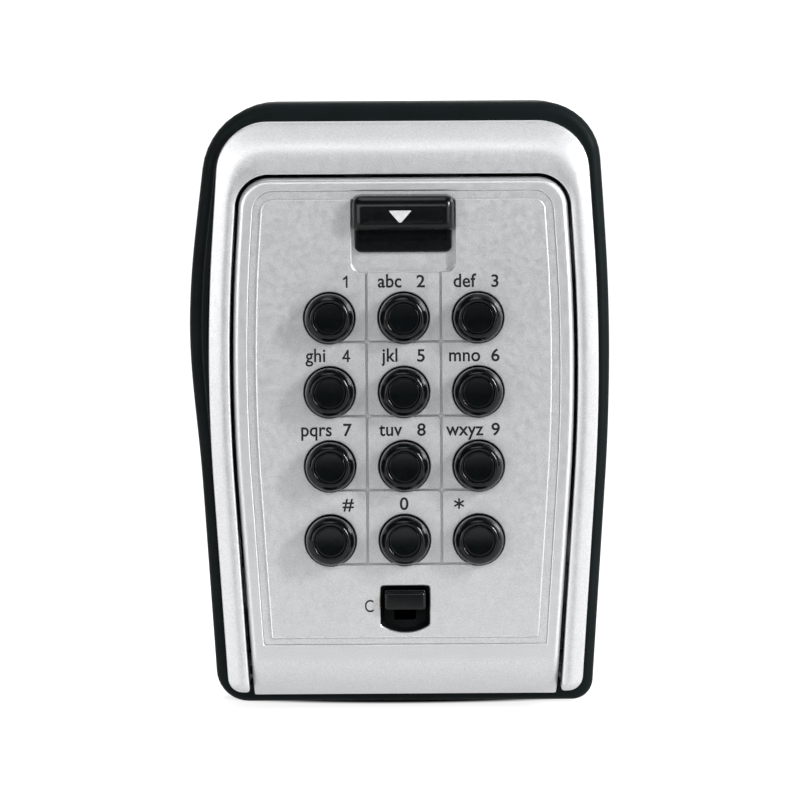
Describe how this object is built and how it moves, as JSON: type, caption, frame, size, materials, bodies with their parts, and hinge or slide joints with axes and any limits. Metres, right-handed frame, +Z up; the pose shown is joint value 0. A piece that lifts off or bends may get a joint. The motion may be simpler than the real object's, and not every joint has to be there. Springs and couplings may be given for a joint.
{
  "type": "push-button key safe",
  "caption": "Wall-mounted key safe: cast box, drop-down door with round push buttons, latch and clear slide, resettable code pins, moulded bumper.",
  "frame": {"origin": "centre of the back box's rear face, which lies on the wall", "axes": "+Z up, +Y into the wall, +X to the right of a person facing the safe; the front faces -Y"},
  "size_m": [0.082, 0.0482, 0.12],
  "materials": {
    "silver_paint": "satin silver metallic paint",
    "body_casting": "grey painted zinc casting",
    "bumper_black": "fine-grained matte moulding",
    "matte_black": "matte moulding",
    "gloss_black": "glossy moulding",
    "zinc": "bare zinc casting",
    "steel": "zinc-plated steel",
    "dark_steel": "black-oxide steel",
    "brass": "turned brass",
    "legend_ink": "printed ink",
    "arrow_ink": "white printed ink"
  },
  "bodies": {
    "wall_body": {"back_box": "body_casting", "front_frame": "silver_paint", "bumper": "bumper_black", "frame_screws": "steel", "hinge_pins": "dark_steel"},
    "door": {"door_shell": "silver_paint", "keypad_fascia": "silver_paint", "clear_guide": "matte_black", "lock_chassis": "zinc", "mechanism_cover": "matte_black", "mechanism_screws": "steel", "button_springs": "steel", "release_spring": "steel", "clear_spring": "steel"},
    "latch": {"release_lever": "gloss_black", "bolt_plate": "dark_steel", "lever_screw": "steel"},
    "clear": {"clear_slider": "gloss_black", "clear_plate": "brass", "clear_screw": "steel"},
    "button_1": {"button_1": "gloss_black"},
    "code_pin_1": {"code_pin_1": "brass"},
    "button_2": {"button_2": "gloss_black"},
    "code_pin_2": {"code_pin_2": "brass"},
    "button_3": {"button_3": "gloss_black"},
    "code_pin_3": {"code_pin_3": "brass"},
    "button_4": {"button_4": "gloss_black"},
    "code_pin_4": {"code_pin_4": "brass"},
    "button_5": {"button_5": "gloss_black"},
    "code_pin_5": {"code_pin_5": "brass"},
    "button_6": {"button_6": "gloss_black"},
    "code_pin_6": {"code_pin_6": "brass"},
    "button_7": {"button_7": "gloss_black"},
    "code_pin_7": {"code_pin_7": "brass"},
    "button_8": {"button_8": "gloss_black"},
    "code_pin_8": {"code_pin_8": "brass"},
    "button_9": {"button_9": "gloss_black"},
    "code_pin_9": {"code_pin_9": "brass"},
    "button_hash": {"button_hash": "gloss_black"},
    "code_pin_hash": {"code_pin_hash": "brass"},
    "button_0": {"button_0": "gloss_black"},
    "code_pin_0": {"code_pin_0": "brass"},
    "button_star": {"button_star": "gloss_black"},
    "code_pin_star": {"code_pin_star": "brass"}
  },
  "joints": [
    {"name": "door_hinge", "type": "hinge", "parent": "wall_body", "child": "door", "pos_m": [0, -0.0385, -0.05], "axis": [1, 0, 0], "range_deg": [0, 95]},
    {"name": "latch_slide", "type": "slide", "parent": "door", "child": "latch", "axis": [0, 0, -1], "range_m": [0, 0.0028], "stiffness_N_per_m": 300, "springref_m": -0.003, "deforming": ["release_spring"]},
    {"name": "clear_slide", "type": "slide", "parent": "door", "child": "clear", "axis": [0, 0, -1], "range_m": [0, 0.0022], "stiffness_N_per_m": 300, "springref_m": -0.003, "deforming": ["clear_spring"]},
    {"name": "button_1_press", "type": "slide", "parent": "door", "child": "button_1", "axis": [0, 1, 0], "range_m": [0, 0.0024], "stiffness_N_per_m": 400, "springref_m": -0.001, "deforming": ["button_springs"]},
    {"name": "code_pin_1_turn", "type": "hinge", "parent": "button_1", "child": "code_pin_1", "pos_m": [-0.01465, -0.035, 0.0178], "axis": [0, 1, 0], "range_deg": [0, 180]},
    {"name": "button_2_press", "type": "slide", "parent": "door", "child": "button_2", "axis": [0, 1, 0], "range_m": [0, 0.0024], "stiffness_N_per_m": 400, "springref_m": -0.001, "deforming": ["button_springs"]},
    {"name": "code_pin_2_turn", "type": "hinge", "parent": "button_2", "child": "code_pin_2", "pos_m": [0, -0.035, 0.0178], "axis": [0, 1, 0], "range_deg": [0, 180]},
    {"name": "button_3_press", "type": "slide", "parent": "door", "child": "button_3", "axis": [0, 1, 0], "range_m": [0, 0.0024], "stiffness_N_per_m": 400, "springref_m": -0.001, "deforming": ["button_springs"]},
    {"name": "code_pin_3_turn", "type": "hinge", "parent": "button_3", "child": "code_pin_3", "pos_m": [0.01465, -0.035, 0.0178], "axis": [0, 1, 0], "range_deg": [0, 180]},
    {"name": "button_4_press", "type": "slide", "parent": "door", "child": "button_4", "axis": [0, 1, 0], "range_m": [0, 0.0024], "stiffness_N_per_m": 400, "springref_m": -0.001, "deforming": ["button_springs"]},
    {"name": "code_pin_4_turn", "type": "hinge", "parent": "button_4", "child": "code_pin_4", "pos_m": [-0.01465, -0.035, 0.00315], "axis": [0, 1, 0], "range_deg": [0, 180]},
    {"name": "button_5_press", "type": "slide", "parent": "door", "child": "button_5", "axis": [0, 1, 0], "range_m": [0, 0.0024], "stiffness_N_per_m": 400, "springref_m": -0.001, "deforming": ["button_springs"]},
    {"name": "code_pin_5_turn", "type": "hinge", "parent": "button_5", "child": "code_pin_5", "pos_m": [0, -0.035, 0.00315], "axis": [0, 1, 0], "range_deg": [0, 180]},
    {"name": "button_6_press", "type": "slide", "parent": "door", "child": "button_6", "axis": [0, 1, 0], "range_m": [0, 0.0024], "stiffness_N_per_m": 400, "springref_m": -0.001, "deforming": ["button_springs"]},
    {"name": "code_pin_6_turn", "type": "hinge", "parent": "button_6", "child": "code_pin_6", "pos_m": [0.01465, -0.035, 0.00315], "axis": [0, 1, 0], "range_deg": [0, 180]},
    {"name": "button_7_press", "type": "slide", "parent": "door", "child": "button_7", "axis": [0, 1, 0], "range_m": [0, 0.0024], "stiffness_N_per_m": 400, "springref_m": -0.001, "deforming": ["button_springs"]},
    {"name": "code_pin_7_turn", "type": "hinge", "parent": "button_7", "child": "code_pin_7", "pos_m": [-0.01465, -0.035, -0.0115], "axis": [0, 1, 0], "range_deg": [0, 180]},
    {"name": "button_8_press", "type": "slide", "parent": "door", "child": "button_8", "axis": [0, 1, 0], "range_m": [0, 0.0024], "stiffness_N_per_m": 400, "springref_m": -0.001, "deforming": ["button_springs"]},
    {"name": "code_pin_8_turn", "type": "hinge", "parent": "button_8", "child": "code_pin_8", "pos_m": [0, -0.035, -0.0115], "axis": [0, 1, 0], "range_deg": [0, 180]},
    {"name": "button_9_press", "type": "slide", "parent": "door", "child": "button_9", "axis": [0, 1, 0], "range_m": [0, 0.0024], "stiffness_N_per_m": 400, "springref_m": -0.001, "deforming": ["button_springs"]},
    {"name": "code_pin_9_turn", "type": "hinge", "parent": "button_9", "child": "code_pin_9", "pos_m": [0.01465, -0.035, -0.0115], "axis": [0, 1, 0], "range_deg": [0, 180]},
    {"name": "button_hash_press", "type": "slide", "parent": "door", "child": "button_hash", "axis": [0, 1, 0], "range_m": [0, 0.0024], "stiffness_N_per_m": 400, "springref_m": -0.001, "deforming": ["button_springs"]},
    {"name": "code_pin_hash_turn", "type": "hinge", "parent": "button_hash", "child": "code_pin_hash", "pos_m": [-0.01465, -0.035, -0.02615], "axis": [0, 1, 0], "range_deg": [0, 180]},
    {"name": "button_0_press", "type": "slide", "parent": "door", "child": "button_0", "axis": [0, 1, 0], "range_m": [0, 0.0024], "stiffness_N_per_m": 400, "springref_m": -0.001, "deforming": ["button_springs"]},
    {"name": "code_pin_0_turn", "type": "hinge", "parent": "button_0", "child": "code_pin_0", "pos_m": [0, -0.035, -0.02615], "axis": [0, 1, 0], "range_deg": [0, 180]},
    {"name": "button_star_press", "type": "slide", "parent": "door", "child": "button_star", "axis": [0, 1, 0], "range_m": [0, 0.0024], "stiffness_N_per_m": 400, "springref_m": -0.001, "deforming": ["button_springs"]},
    {"name": "code_pin_star_turn", "type": "hinge", "parent": "button_star", "child": "code_pin_star", "pos_m": [0.01465, -0.035, -0.02615], "axis": [0, 1, 0], "range_deg": [0, 180]}
  ]
}
